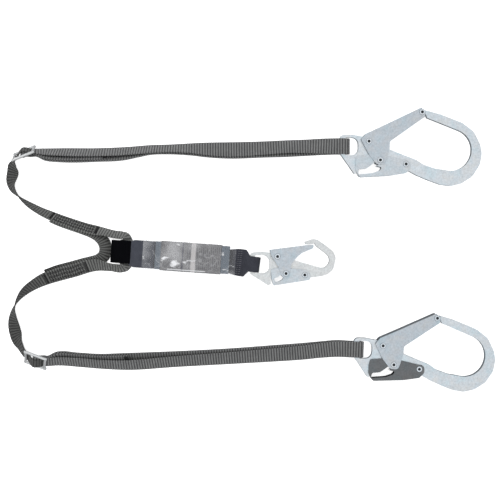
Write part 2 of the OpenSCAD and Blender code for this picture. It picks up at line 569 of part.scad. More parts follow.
// Thread lies just clear of the face that looks up.
thread_off = strap_t / 2 + thread_r + 0.2;
function part_of(p, from, to) = [for (i = [from : to]) p[i]];
module upper_junction_stitching() {
    zigzag(smooth(laid(part_of(upper_in, 7, 11), 1)), thread_off, 8);
}
module lower_junction_stitching() {
    zigzag(smooth(laid(part_of(lower_in, 7, 10), -1), 3), -thread_off, 8);
}
module upper_tail_stitching() {
    zigzag(smooth(laid(part_of(upper_tail, 1, 3), 1), 5), -thread_off, 8);
}
module lower_tail_stitching() {
    zigzag(smooth(laid(part_of(lower_tail, 1, 3), -1), 5), thread_off, 8);
}

color(webbing) placed() upper_leg_strap();
color(webbing) placed() lower_leg_strap();
color(webbing) placed() bridge_strap();
color("black") placed() in_pack() keeper_pad();
color(thread) placed() upper_tail_stitching();
color(thread) placed() lower_tail_stitching();
color(thread) placed() upper_junction_stitching();
color(thread) placed() lower_junction_stitching();
color(steel) placed() slide(upper_slide_seat, 1);  // upper_slide
color(steel) placed() slide(lower_slide_seat, -1);  // lower_slide
color("slategray") placed() in_pack() absorber_core();
color("slategray") placed() in_pack() absorber_leg_loop();
color("slategray") placed() in_pack() absorber_hook_loop();
color(thread) placed() in_pack() hook_loop_stitching();
color("white", 0.4) placed() in_pack() tube_shape(0, sleeve_len, 0, film_t);  // clear_sleeve
color("white") placed() in_pack() tube_shape(28.5, sleeve_len - 23, film_t + 0.3, label_t);  // label_wrap

color(steel) placed() upper_hook() hook_body(true);  // upper_hook_body
color(steel) placed() upper_hook() hook_gate(true);  // upper_hook_gate
color(steel) placed() upper_hook() hook_lever(true);  // upper_hook_lever
color(steel) placed() upper_hook() rivet(gate_pin(true), gate_z(true) + sheet_t);  // upper_gate_rivet
color(steel) placed() upper_hook() rivet(lock_pin(true), gate_z(true) + sheet_t);  // upper_lock_pin
color(steel) placed() upper_hook() rivet(tip_pin, gate_z(true) + sheet_t);  // upper_tip_rivet
color(steel) placed() upper_hook() rivet(lever_pin(true), lever_z(true) + sheet_t);  // upper_lever_rivet
color(steel) placed() upper_hook() gate_spring(true);  // upper_gate_spring
color(steel) placed() upper_hook() lever_spring(true);  // upper_lever_spring

color(steel) placed() lower_hook() hook_body(true);  // lower_hook_body
color(steel) placed() lower_hook() hook_gate(true);  // lower_hook_gate
color(steel) placed() lower_hook() hook_lever(true);  // lower_hook_lever
color(steel) placed() lower_hook() rivet(gate_pin(true), gate_z(true) + sheet_t);  // lower_gate_rivet
color(steel) placed() lower_hook() rivet(lock_pin(true), gate_z(true) + sheet_t);  // lower_lock_pin
color(steel) placed() lower_hook() rivet(tip_pin, gate_z(true) + sheet_t);  // lower_tip_rivet
color(steel) placed() lower_hook() rivet(lever_pin(true), lever_z(true) + sheet_t);  // lower_lever_rivet
color(steel) placed() lower_hook() gate_spring(true);  // lower_gate_spring
color(steel) placed() lower_hook() lever_spring(true);  // lower_lever_spring

color(steel) placed() snap_hook() hook_body(false);  // snap_hook_body
color(steel) placed() snap_hook() hook_gate(false);  // snap_hook_gate
color(steel) placed() snap_hook() hook_lever(false);  // snap_hook_lever
color(steel) placed() snap_hook() rivet(gate_pin(false), gate_z(false) + sheet_t);  // snap_gate_rivet
color(steel) placed() snap_hook() rivet(lock_pin(false), gate_z(false) + sheet_t);  // snap_lock_pin
color(steel) placed() snap_hook() rivet(lever_pin(false), lever_z(false) + sheet_t);  // snap_lever_rivet
color(steel) placed() snap_hook() gate_spring(false);  // snap_gate_spring
color(steel) placed() snap_hook() lever_spring(false);  // snap_lever_spring
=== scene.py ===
"""Looks of a twin-leg shock absorbing lanyard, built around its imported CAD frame.

Units are metres. Each section makes one piece, or one group of like pieces.
"""

import json

import bmesh
import bpy
import numpy as np
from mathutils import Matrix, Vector


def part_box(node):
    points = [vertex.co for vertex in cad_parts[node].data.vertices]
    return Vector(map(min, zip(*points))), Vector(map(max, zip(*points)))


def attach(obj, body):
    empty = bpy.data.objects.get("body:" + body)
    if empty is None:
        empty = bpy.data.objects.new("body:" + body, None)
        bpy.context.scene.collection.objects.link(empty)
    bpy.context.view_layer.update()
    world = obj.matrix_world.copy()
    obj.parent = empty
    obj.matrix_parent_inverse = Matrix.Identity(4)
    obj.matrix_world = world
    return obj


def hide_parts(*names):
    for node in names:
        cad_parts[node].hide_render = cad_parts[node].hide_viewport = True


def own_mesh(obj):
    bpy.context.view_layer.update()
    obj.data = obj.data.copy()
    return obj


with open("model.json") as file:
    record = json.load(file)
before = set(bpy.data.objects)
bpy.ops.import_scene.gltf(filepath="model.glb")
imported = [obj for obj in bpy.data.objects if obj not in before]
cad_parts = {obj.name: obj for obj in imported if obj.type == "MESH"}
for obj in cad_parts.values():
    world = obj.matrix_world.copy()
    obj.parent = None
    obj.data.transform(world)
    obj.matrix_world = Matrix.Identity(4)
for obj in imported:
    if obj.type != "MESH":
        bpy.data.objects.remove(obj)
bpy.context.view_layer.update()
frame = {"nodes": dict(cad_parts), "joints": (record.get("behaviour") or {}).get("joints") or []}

# ---- the table, the studio light and the camera -------------------------------------
# A pale light table under a studio tent: bright overhead and dim round the sides, so that
# plated edges mirror dark lines. Two soft boxes hang above it. The camera looks straight down.
camera_height = 1.4
view_width = 0.8
sensor = 36.0
table_size = 12.0
table_drop = 0.0006


def node(tree, kind, inputs=None, **settings):
    """Adds one shader node; an input is given a plain value or another node's output."""
    made = tree.nodes.new("ShaderNode" + kind)
    for name, value in settings.items():
        setattr(made, name, value)
    for name, value in (inputs or {}).items():
        if isinstance(value, bpy.types.NodeSocket):
            tree.links.new(value, made.inputs[name])
        else:
            made.inputs[name].default_value = value
    return made


def sums(tree, operation, a, b=0.5):
    """One arithmetic step on two numbers or outputs."""
    return node(tree, "Math", {0: a, 1: b}, operation=operation).outputs[0]


def blend_colours(tree, how, amount, first, second):
    """Two colours laid over each other by an amount from 0 to 1."""
    made = node(tree, "MixRGB", {"Fac": amount, "Color1": first, "Color2": second}, blend_type=how)
    return made.outputs["Color"]


def rgb(r, g, b):
    """An opaque colour."""
    return (r, g, b, 1.0)


def finish(name, roughness, metallic=0.0):
    """A new finish: its material, its node tree and its main shader."""
    made = bpy.data.materials.new(name)
    made.use_nodes = True
    shader = made.node_tree.nodes["Principled BSDF"]
    shader.inputs["Roughness"].default_value = roughness
    shader.inputs["Metallic"].default_value = metallic
    return made, made.node_tree, shader


def noise(tree, where, scale, detail=3.0, roughness=0.5):
    """Cloudy noise read at a position, from 0 to 1."""
    return node(tree, "TexNoise", {"Vector": where, "Scale": scale, "Detail": detail,
                                   "Roughness": roughness}).outputs["Fac"]


table_paint, tree, shader = finish("pale_table", 0.9)
grain = noise(tree, node(tree, "TexCoord").outputs["Object"], 40.0)
paint = blend_colours(tree, "MIX", grain, rgb(0.93, 0.935, 0.94), rgb(0.95, 0.95, 0.955))
tree.links.new(paint, shader.inputs["Base Color"])
shader.inputs["Emission Color"].default_value = rgb(1.0, 1.0, 1.0)
shader.inputs["Emission Strength"].default_value = 0.75

table_mesh = bpy.data.meshes.new("table")
half = table_size / 2
table_mesh.from_pydata([(-half, -half, -table_drop), (half, -half, -table_drop),
                        (half, half, -table_drop), (-half, half, -table_drop)], [], [(0, 1, 2, 3)])
table = bpy.data.objects.new("table", table_mesh)
table.data.materials.append(table_paint)
bpy.context.scene.collection.objects.link(table)
table.visible_glossy = False

sky = bpy.data.worlds.new("studio")
sky.use_nodes = True
bpy.context.scene.world = sky
tree = sky.node_tree
up = node(tree, "SeparateXYZ", {0: node(tree, "TexCoord").outputs["Generated"]}).outputs["Z"]
shade = node(tree, "ValToRGB", {"Fac": up})
shade.color_ramp.elements[0].position = 0.0
shade.color_ramp.elements[0].color = rgb(0.2, 0.205, 0.21)
shade.color_ramp.elements[1].position = 0.92
shade.color_ramp.elements[1].color = rgb(1.0, 1.0, 1.0)
shade.color_ramp.elements.new(0.55).color = rgb(0.34, 0.35, 0.365)
tree.links.new(shade.outputs["Color"], tree.nodes["Background"].inputs["Color"])
tree.nodes["Background"].inputs["Strength"].default_value = 0.95

for name, place, size, power in [("key_box", (-1.1, 1.0, 1.9), 1.5, 26.0),
                                 ("fill_box", (1.5, -0.9, 1.7), 1.2, 10.0)]:
    lamp = bpy.data.lights.new(name, "AREA")
    lamp.shape = "SQUARE"
    lamp.size = size
    lamp.energy = power
    made = bpy.data.objects.new(name, lamp)
    made.location = place
    made.rotation_euler = (-Vector(place)).to_track_quat("-Z", "Y").to_euler()
    made.visible_glossy = False
    bpy.context.scene.collection.objects.link(made)

lens = bpy.data.cameras.new("overhead")
lens.sensor_width = sensor
lens.lens = sensor * camera_height / view_width
lens.clip_end = 50.0
camera = bpy.data.objects.new("overhead", lens)
camera.location = (0.0, 0.0, camera_height)
bpy.context.scene.collection.objects.link(camera)
bpy.context.scene.camera = camera
bpy.context.scene.view_settings.view_transform = "Standard"

# ---- the leg webbing -----------------------------------------------------------------
# Two legs of 25 mm polyester webbing with thick ribs across it. Each runs from the
# absorber's loop, over its slide, out to the hook's eye and back, and its end is sewn
# round the slide's middle bar and back onto itself.
leg_width = 0.025
leg_thick = 0.002
layer_gap = 0.0004
rib_pitch = 0.0042
rib_depth = 0.00035
rib_sharpness = 0.6
rib_depth_at_edge = 0.8
ring_step = 0.0006
# The routes are drawn about a point this far from the frame's origin.
whole_shift = np.array([0.0008, -0.0004, 0.0])

UPPER_IN = [
    (-0.197, -0.0022, 35, 0.0045), (-0.197, 0.0115, 36, 0.0043), (-0.195, 0.0175, 62, 0.0015),
    (-0.198, 0.0222, 66, 0.0003), (-0.2055, 0.024, 62, 0), (-0.216, 0.0252, 62, 0),
    (-0.229, 0.0285, 63, 0), (-0.244, 0.0312, 54, 0), (-0.264, 0.036, 53, 0),
    (-0.285, 0.0429, 54, 0), (-0.3, 0.048, 55, 0), (-0.315, 0.0541, 58, 0),
    (-0.334, 0.0628, 66, 0), (-0.351, 0.0728, 76, 0), (-0.363, 0.0818, 90, 0),
    (-0.372, 0.0908, 108, 0), (-0.3785, 0.101, 127, 0), (-0.38, 0.111, 143, 0.0005),
    (-0.378, 0.124, 150, 0.001), (-0.376, 0.136, 128, 0.003)]
UPPER_OUT = [
    (-0.327, 0.1565, 118, 0.0005), (-0.3, 0.156, 124, 0), (-0.24, 0.1558, 126, 0),
    (-0.192, 0.158, 126, 0), (-0.16, 0.1602, 126, 0.0025), (-0.127, 0.1614, 125, 0.003),
    (-0.094, 0.1618, 134, 0.003), (-0.067, 0.161, 150, 0.003), (-0.032, 0.1606, 163, 0.003),
    (0.016, 0.1622, 155, 0.0035), (0.06, 0.1646, 150, 0.0045), (0.092, 0.165, 156, 0.0065),
    (0.117, 0.1648, 170, 0.013)]
UPPER_BACK = [
    (0.117, 0.1636, 12, 0.0024), (0.092, 0.161, 26, 0.0004), (0.06, 0.1588, 30, 0),
    (0.016, 0.158, 26, 0), (-0.032, 0.1575, 17, 0), (-0.067, 0.1578, 30, 0),
    (-0.094, 0.1584, 46, 0), (-0.127, 0.1586, 55, 0), (-0.16, 0.1576, 54, 0),
    (-0.18, 0.1535, 54, 0), (-0.2, 0.1494, 54, 0), (-0.24, 0.1471, 54, 0),
    (-0.3, 0.1462, 55, 0), (-0.322, 0.1473, 60, 0.0004)]
UPPER_TAIL = [
    (-0.322, 0.1505, 120, 0.0004), (-0.3, 0.1492, 125, 0), (-0.262, 0.1497, 126, 0),
    (-0.226, 0.1506, 126, 0)]
LOWER_IN = [
    (-0.197, -0.0028, 35, 0.0045), (-0.1966, -0.0189, 36, 0.0043), (-0.1955, -0.024, 62, 0.0015),
    (-0.1985, -0.0272, 66, 0.0003), (-0.206, -0.0288, 60, 0), (-0.222, -0.027, 60, 0),
    (-0.245, -0.0235, 42, 0), (-0.261, -0.026, 36, 0), (-0.277, -0.0309, 34, 0),
    (-0.31, -0.04, 35, 0), (-0.325, -0.045, 40, 0), (-0.3425, -0.054, 55, 0),
    (-0.357, -0.0644, 68, 0), (-0.3685, -0.0785, 90, 0), (-0.3745, -0.091, 108, 0),
    (-0.3765, -0.103, 127, 0), (-0.3765, -0.119, 148, 0.0005), (-0.373, -0.135, 152, 0.001),
    (-0.3665, -0.149, 132, 0.003)]
LOWER_OUT = [
    (-0.31, -0.1766, 126, 0.0005), (-0.272, -0.1784, 130, 0), (-0.24, -0.1811, 130, 0),
    (-0.2, -0.1826, 133, 0), (-0.118, -0.177, 139, 0), (-0.032, -0.1714, 145, 0.0015),
    (0.04, -0.1662, 154, 0.003), (0.084, -0.1626, 160, 0.0045), (0.112, -0.159, 166, 0.0075),
    (0.139, -0.1566, 174, 0.0135)]
LOWER_BACK = [
    (0.139, -0.155, 8, 0.0028), (0.112, -0.1564, 18, 0.0008), (0.084, -0.158, 26, 0.0002),
    (0.04, -0.1608, 30, 0), (-0.032, -0.165, 38, 0), (-0.118, -0.1683, 45, 0),
    (-0.2, -0.1706, 49, 0), (-0.24, -0.1716, 50, 0), (-0.272, -0.1696, 50, 0),
    (-0.304, -0.1674, 52, 0.0004)]
LOWER_TAIL = [
    (-0.304, -0.1707, 128, 0.0004), (-0.272, -0.1727, 130, 0), (-0.24, -0.1748, 130, 0),
    (-0.192, -0.174, 131, 0)]

# The slides that the webbing threads through: centre, heading, lean and lift.
bar_radius = 0.002
rail_radius = bar_radius + 0.00025
rail_side = leg_width / 2 + 0.0009 + rail_radius
slide_pitch = 0.016
UPPER_SLIDE = (-0.3585, 0.1535, 21.5, 66, 0.0003)
LOWER_SLIDE = (-0.3405, -0.1742, -20, 52, 0.0018)
first_layer = bar_radius + layer_gap + leg_thick / 2
second_layer = first_layer + leg_thick + layer_gap
third_layer = second_layer + leg_thick + layer_gap


def laid(points, leg):
    """Stations of webbing that stands on its lower edge: height is half the width times the
    sine of its tilt plus half the thickness times the cosine, and the direction across is
    square to the heading, tilted up by the same angle."""
    p = np.array(points, float)
    ahead = np.vstack([p[1:, :2], p[-1:, :2]]) - np.vstack([p[:1, :2], p[:-1, :2]])
    h, tilt = np.arctan2(ahead[:, 1], ahead[:, 0]), np.radians(p[:, 2])
    z = leg_width / 2 * abs(np.sin(tilt)) + leg_thick / 2 * abs(np.cos(tilt)) + p[:, 3]
    return np.stack([p[:, 0], p[:, 1], z, -leg * np.sin(h) * np.cos(tilt),
                     leg * np.cos(h) * np.cos(tilt), np.sin(tilt)], 1)


def held(points, centre, along, above, side):
    """Stations at [along, above] in a frame, all with the same direction across."""
    p = np.array(points, float)
    place = np.array(centre) + p[:, :1] * np.array(along) + p[:, 1:] * np.array(above)
    return np.hstack([place, np.tile(side, (len(p), 1))])


def round_bar(centre, radius, *angles):
    """Points on a circle about a bar, at angles in degrees."""
    a = np.radians(angles)
    return np.stack([centre + radius * np.cos(a), radius * np.sin(a)], 1)


def slide_frame(seat, leg):
    """Centre and three directions of a slide that leans on its lower rail."""
    x, y, heading, lean, lift = seat
    h, t = np.radians(heading), np.radians(lean)
    along = np.array([np.cos(h), np.sin(h), 0.0])
    across = np.array([leg * np.sin(h) * np.cos(t), -leg * np.cos(h) * np.cos(t), np.sin(t)])
    above = np.array([-leg * np.sin(h) * np.sin(t), leg * np.cos(h) * np.sin(t), np.cos(t)])
    return np.array([x, y, rail_side * np.sin(t) + rail_radius + lift]), along, across, above


def smooth(stations, step=ring_step):
    """A smooth line through the stations: cubic pieces whose slope at a station is the mean of
    the slopes beside it, weighted by the other side's length. Also says where each station is."""
    p = np.array(stations, float)
    d = np.linalg.norm(np.diff(p[:, :3], axis=0), axis=1)
    slope = np.diff(p, axis=0) / d[:, None]
    inner = (slope[:-1] * d[1:, None] + slope[1:] * d[:-1, None]) / (d[:-1] + d[1:])[:, None]
    m = np.vstack([slope[:1], inner, slope[-1:]])
    counts = np.maximum(2, np.ceil(d / step).astype(int))
    start = np.concatenate([[0], np.cumsum(counts)])
    seg = np.repeat(np.arange(len(d)), counts)
    t = ((np.arange(start[-1]) - start[seg]) / counts[seg])[:, None]
    u, span = 1 - t, d[seg][:, None]
    line = (p[seg] * (1 + 2 * t) * u * u + m[seg] * span * t * u * u
            + p[seg + 1] * t * t * (3 - 2 * t) - m[seg + 1] * span * t * t * u)
    return np.vstack([line, p[-1:]]), start


def directions(line):
    """Unit directions along, across and out of the face at each station of a line."""
    along = np.gradient(line[:, :3], axis=0)
    along /= np.linalg.norm(along, axis=1)[:, None]
    side = line[:, 3:] - along * (line[:, 3:] * along).sum(1)[:, None]
    side /= np.linalg.norm(side, axis=1)[:, None]
    return along, side, np.cross(along, side)


def lengths(line):
    """Distance along a line at each of its stations."""
    return np.concatenate([[0], np.cumsum(np.linalg.norm(np.diff(line[:, :3], axis=0), axis=1))])


def skin(name, rings, capped=True, **marks):
    """A closed skin through rings of points: four-sided faces between neighbours and a flat cap
    at each end, turned right side out by the sign of its volume. The marks are numbers kept on
    the points for the finish to read."""
    n, m = rings.shape[:2]
    first = (np.arange(n - 1) * m)[:, None]
    k = np.arange(m)[None, :]
    turn = (k + 1) % m
    quads = np.stack([first + k, first + m + k, first + m + turn, first + turn], -1).reshape(-1, 4)
    flat = rings.reshape(-1, 3)
    a, b, c, d = (flat[quads[:, i]] for i in range(4))
    volume = (np.cross(a, b) * c + np.cross(a, c) * d).sum()
    faces = quads if volume > 0 else quads[:, ::-1]
    faces = faces.tolist()
    if capped:
        ends = [list(range(m)), list(range(n * m - 1, (n - 1) * m - 1, -1))]
        faces += ends if volume > 0 else [e[::-1] for e in ends]
    mesh = bpy.data.meshes.new(name)
    mesh.from_pydata(flat.tolist(), [], faces)
    mesh.polygons.foreach_set("use_smooth", np.ones(len(faces), bool))
    for mark, values in marks.items():
        layer = mesh.attributes.new(mark, "FLOAT", "POINT")
        layer.data.foreach_set("value", np.broadcast_to(values, (n, m)).ravel().astype(np.float32))
    made = bpy.data.objects.new(name, mesh)
    bpy.context.scene.collection.objects.link(made)
    return made


def strap_section(count=9, flat_share=0.94):
    """The outline of flat webbing in units of half its width and half its thickness: two flat
    faces that fill a share of the width, and two rounded edges."""
    flat = np.linspace(-flat_share, flat_share, count)
    bend = np.radians([-60, -25, 0, 25, 60])
    edge = np.stack([flat_share + (1 - flat_share) * np.cos(bend), np.sin(bend)], 1)
    top = np.stack([flat[::-1], np.ones(count)], 1)
    return np.vstack([edge, top, -edge, -top])


def strap_rings(line, width, thick, s, pitch, depth, ripple=None):
    """Rings of webbing along a line: the outline times half the width and half the thickness,
    which sinks by the rib depth between ribs as the sine of the distance along."""
    along, side, up = directions(line)
    shape = strap_section()
    rib = abs(np.sin(np.pi * s / pitch)) ** rib_sharpness
    half_thick = thick / 2 - depth * (1 - rib)
    half_wide = np.broadcast_to(width, s.shape) / 2 - depth * rib_depth_at_edge * (1 - rib)
    across = shape[None, :, 0] * half_wide[:, None]
    over = shape[None, :, 1] * half_thick[:, None]
    if ripple is not None:
        over = over + ripple(s[:, None], across)
    rings = (line[:, None, :3] + across[..., None] * side[:, None, :]
             + over[..., None] * up[:, None, :])
    return rings + whole_shift, across


def weave_finish(name, rib, shaded_valley, pitch, sheen=0.08, yarn=0.0011, patch=0.2, shade_beyond=None,
                 shine=0.2, crest=1.5):
    """Woven webbing: lighter ribs and valleys painted darker as shade between them, by the sine of
    the distance along, fine yarns across both ways in the bump, and slow patches of wear in the
    colour. A cloth may be painted dimmer, as shade, beyond a distance along it: (from, to, how
    much is left)."""
    made, tree, shader = finish(name, 0.85)
    shader.inputs["Sheen Weight"].default_value = sheen
    shader.inputs["Specular IOR Level"].default_value = shine
    along = node(tree, "Attribute", attribute_name="along").outputs["Fac"]
    across = node(tree, "Attribute", attribute_name="across").outputs["Fac"]
    where = node(tree, "TexCoord").outputs["Object"]
    wave = sums(tree, "ABSOLUTE", sums(tree, "SINE", sums(tree, "MULTIPLY", along, np.pi / pitch)))
    high = sums(tree, "POWER", wave, crest)
    # The valleys between ribs are painted darker: painted shade on top of the ribs' real relief.
    colour = blend_colours(tree, "MIX", high, shaded_valley, rib)
    wear_and_shade = sums(tree, "MULTIPLY", noise(tree, where, 90.0), patch * 2)
    wear_and_shade = sums(tree, "ADD", wear_and_shade, 1.0 - patch)
    speck = sums(tree, "MULTIPLY", noise(tree, where, 900.0, 2.0), 0.5)
    wear_and_shade = sums(tree, "MULTIPLY", wear_and_shade, sums(tree, "ADD", speck, 0.75))
    # Painted shade: the cloth is darkened beyond a distance along it.
    if shade_beyond:
        left = node(tree, "MapRange", {"Value": along, "From Min": shade_beyond[0], "From Max": shade_beyond[1],
                                       "To Min": 1.0, "To Max": shade_beyond[2]}).outputs[0]
        wear_and_shade = sums(tree, "MULTIPLY", wear_and_shade, left)
    grey = node(tree, "CombineColor", {0: wear_and_shade, 1: wear_and_shade, 2: wear_and_shade}).outputs[0]
    colour = blend_colours(tree, "MULTIPLY", 1.0, colour, grey)
    tree.links.new(colour, shader.inputs["Base Color"])
    one = sums(tree, "SINE", sums(tree, "MULTIPLY", across, 2 * np.pi / yarn))
    two = sums(tree, "SINE", sums(tree, "MULTIPLY", along, 2 * np.pi / yarn))
    cloth = sums(tree, "ADD", sums(tree, "MULTIPLY", one, two), high)
    bump = node(tree, "Bump", {"Height": cloth, "Strength": 0.5, "Distance": 0.0002})
    tree.links.new(bump.outputs["Normal"], shader.inputs["Normal"])
    return made


leg_cloth = weave_finish("ribbed_webbing", rgb(0.215, 0.217, 0.217), rgb(0.028, 0.028, 0.029),
                         rib_pitch, crest=1.2)
# A darker copy of the same leg webbing, for the legs' runs into the absorber's loop and for the
# bridge: painted shade, dimmer still from 13 to 20 cm along.
shaded_leg_cloth = weave_finish("ribbed_webbing_shaded", rgb(0.19, 0.193, 0.186),
                           rgb(0.024, 0.0245, 0.024), rib_pitch, shade_beyond=(0.13, 0.2, 0.45),
                           crest=1.1)
joint_of = {j["name"]: j for j in frame["joints"]}
# The webbing's turn round a hook's eye: its radius, how far past the bar's middle its centre
# lies, and how far back its two sides run straight.
bight_radius = 0.006 + leg_thick / 2
bight_centre, bight_back = 0.0043, 0.009
leg_lines = {}


def leg_stations(name, leg, inward, outward, backward, tail, seat):
    """The whole route of a leg, and the stations where it is cut into its pieces: behind the
    slide's outer bar and below the eye, where no cut shows."""
    swing, gate = joint_of[name + "_hook_swing"], joint_of[name + "_gate_open"]
    eye = np.array(swing["pos_m"]) - whole_shift
    side, above = -np.array(swing["axis"]), np.array(gate["axis"])
    forward = np.cross(side, above)
    centre, along, across, over = slide_frame(seat, leg)
    thread = np.vstack([round_bar(-slide_pitch, first_layer, -90, -58),
                        round_bar(0.0, second_layer, 122, 90, 58),
                        round_bar(slide_pitch, first_layer, -122, -90)])
    bight = np.vstack([[(-bight_back, bight_radius), (0.0, bight_radius)],
                       round_bar(bight_centre, bight_radius, *np.linspace(90, -90, 9)),
                       [(0.0, -bight_radius), (-bight_back, -bight_radius)]])
    sewn = np.vstack([round_bar(slide_pitch, third_layer, -90, -118),
                      round_bar(0.0, first_layer, -66, -100, -140, -180, -220, -260, -300),
                      round_bar(slide_pitch, second_layer, -122, -90)])
    groups = [laid(inward, leg), held(thread, centre, along, over, across), laid(outward, leg),
              held(bight, eye, forward, above, -leg * side), laid(backward, leg),
              held(sewn, centre, along, over, across), laid(tail, leg)]
    ends = np.cumsum([len(g) for g in groups])
    line, at = smooth(np.vstack(groups))
    cuts = [0, at[ends[1] - 1], at[ends[3] - 1], at[ends[5] - 2], len(line) - 1]
    return line, cuts, at, ends


for name, leg, routes, seat in [
        ("upper", 1, (UPPER_IN, UPPER_OUT, UPPER_BACK, UPPER_TAIL), UPPER_SLIDE),
        ("lower", -1, (LOWER_IN, LOWER_OUT, LOWER_BACK, LOWER_TAIL), LOWER_SLIDE)]:
    line, cuts, at, ends = leg_stations(name, leg, *routes, seat)
    s = lengths(line)
    leg_lines[name] = (line, s, at, ends)
    for i, part in enumerate(("in", "out", "back", "tail")):
        use = slice(cuts[i], cuts[i + 1] + 1)
        rings, across = strap_rings(line[use], leg_width, leg_thick, s[use], rib_pitch, rib_depth)
        strap = skin(f"{name}_leg_{part}", rings, along=s[use][:, None], across=across)
        # The runs into the absorber's loop take the copy with painted shade.
        strap.data.materials.append(shaded_leg_cloth if part == "in" else leg_cloth)
        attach(strap, "lanyard")
        if part == "in":
            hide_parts(name + "_leg_strap")

# ---- the bridge webbing --------------------------------------------------------------
# A short piece of the same webbing, sewn along the inner side of both legs, which rounds
# off the crotch and keeps the legs from tearing apart at the absorber's loop.
BRIDGE_RUN = [
    (-0.315, 0.051, 122, 0), (-0.3, 0.0448, 125, 0), (-0.285, 0.0396, 126, 0),
    (-0.264, 0.0325, 127, 0), (-0.25, 0.0272, 129, 0), (-0.239, 0.0205, 132, 0),
    (-0.232, 0.011, 133, 0), (-0.23, 0.001, 133, 0), (-0.2325, -0.008, 134, 0),
    (-0.24, -0.0148, 137, 0), (-0.25, -0.0186, 141, 0), (-0.261, -0.0216, 144, 0),
    (-0.277, -0.0262, 146, 0), (-0.31, -0.0353, 145, 0), (-0.324, -0.0402, 141, 0)]
line, _ = smooth(laid(BRIDGE_RUN, 1))
s = lengths(line)
rings, across = strap_rings(line, leg_width, leg_thick, s, rib_pitch, rib_depth)
bridge = skin("crotch_bridge", rings, along=s[:, None], across=across)
# The bridge takes the leg webbing's copy with painted shade.
bridge.data.materials.append(shaded_leg_cloth)
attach(bridge, "lanyard")
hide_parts("bridge_strap")

# ---- the stitching of the legs -------------------------------------------------------
# Black bonded thread: rows of zigzag over the bridge, and dense bar tacks at the ends of
# each sewn length. Every stitch is a short bowed thread that sinks in at both ends.
thread_radius = 0.0004
stitch_rings = np.array([0.0, 0.15, 0.5, 0.85, 1.0])
stitch_size = np.array([0.5, 1.0, 1.0, 1.0, 0.5])
stitch_rise = np.array([-0.6, 0.2, 0.5, 0.2, -0.6])
stitch_sides = 6


def stitched(name, start, stop, up, radius):
    """Many stitches in one mesh: each is a thread from a start to a stop, six-sided, thin and
    sunk at its ends and raised in its middle by part of its own radius."""
    start, stop, up = (np.array(v, float) for v in (start, stop, up))
    along = stop - start
    along /= np.linalg.norm(along, axis=1)[:, None]
    side = np.cross(up, along)
    side /= np.linalg.norm(side, axis=1)[:, None]
    over = np.cross(along, side)
    t = stitch_rings[None, :, None]
    middle = start[:, None] * (1 - t) + stop[:, None] * t
    middle = middle + over[:, None] * (stitch_rise * radius)[None, :, None]
    a = np.arange(stitch_sides) * 2 * np.pi / stitch_sides
    reach = (side[:, None, None] * np.cos(a)[None, None, :, None]
             + over[:, None, None] * np.sin(a)[None, None, :, None])
    points = middle[:, :, None] + reach * (stitch_size * radius)[None, :, None, None]
    n, m = len(stitch_rings), stitch_sides
    first = (np.arange(n - 1) * m)[:, None]
    k = np.arange(m)[None, :]
    quads = np.stack([first + k, first + (k + 1) % m, first + m + (k + 1) % m, first + m + k], -1)
    one = quads.reshape(-1, 4).tolist() + [list(range(m))[::-1], list(range((n - 1) * m, n * m))]
    faces = [[v + i * n * m for v in f] for i in range(len(start)) for f in one]
    mesh = bpy.data.meshes.new(name)
    mesh.from_pydata((points.reshape(-1, 3) + whole_shift).tolist(), [], faces)
    mesh.polygons.foreach_set("use_smooth", np.ones(len(faces), bool))
    made = bpy.data.objects.new(name, mesh)
    bpy.context.scene.collection.objects.link(made)
    return made


def on_face(line, s, distance, offset, face):
    """Points on one face of webbing, at distances along and offsets across, and the way out."""
    along, side, up = directions(line)
    pick = [np.stack([np.interp(distance, s, v[:, i]) for i in range(3)], 1)
            for v in (line[:, :3], side, up)]
    out = pick[2] * face
    return pick[0] + pick[1] * offset[:, None] + out * (leg_thick / 2), out


def bar_tack(line, s, where, face, length=0.006, rows=22, width=0.019):
    """A dense block of parallel stitches across the webbing, each a bar tack's length long."""
    offset = np.linspace(-width / 2, width / 2, rows)
    a, up = on_face(line, s, np.full(rows, where - length / 2), offset, face)
    b, _ = on_face(line, s, np.full(rows, where + length / 2), offset + 0.0004, face)
    return a, b, up


def zigzag_rows(line, s, start, stop, face, pitch=0.0042, centres=(-0.0065, 0.0065), reach=0.0038):
    """Rows of zigzag: the thread crosses from one side of its row to the other at each step."""
    found = []
    for centre in centres:
        d = np.arange(start, stop, pitch / 2)
        side = np.where(np.arange(len(d)) % 2 == 0, -reach, reach) + centre
        p, up = on_face(line, s, d, side, face)
        found.append((p[:-1], p[1:], up[:-1]))
    return tuple(np.vstack([f[i] for f in found]) for i in range(3))


def joined(*groups):
    """Several groups of stitches as one."""
    return tuple(np.vstack([g[i] for g in groups]) for i in range(3))


thread_black, tree, shader = finish("black_thread", 0.55)
fray = noise(tree, node(tree, "TexCoord").outputs["Object"], 2500.0, 2.0)
colour = blend_colours(tree, "MIX", fray, rgb(0.003, 0.003, 0.0035), rgb(0.016, 0.016, 0.017))
tree.links.new(colour, shader.inputs["Base Color"])
bump = node(tree, "Bump", {"Height": fray, "Strength": 0.6, "Distance": 0.0001})
tree.links.new(bump.outputs["Normal"], shader.inputs["Normal"])

tack_length, end_tack_length, tack_inset = 0.0045, 0.0075, 0.0045

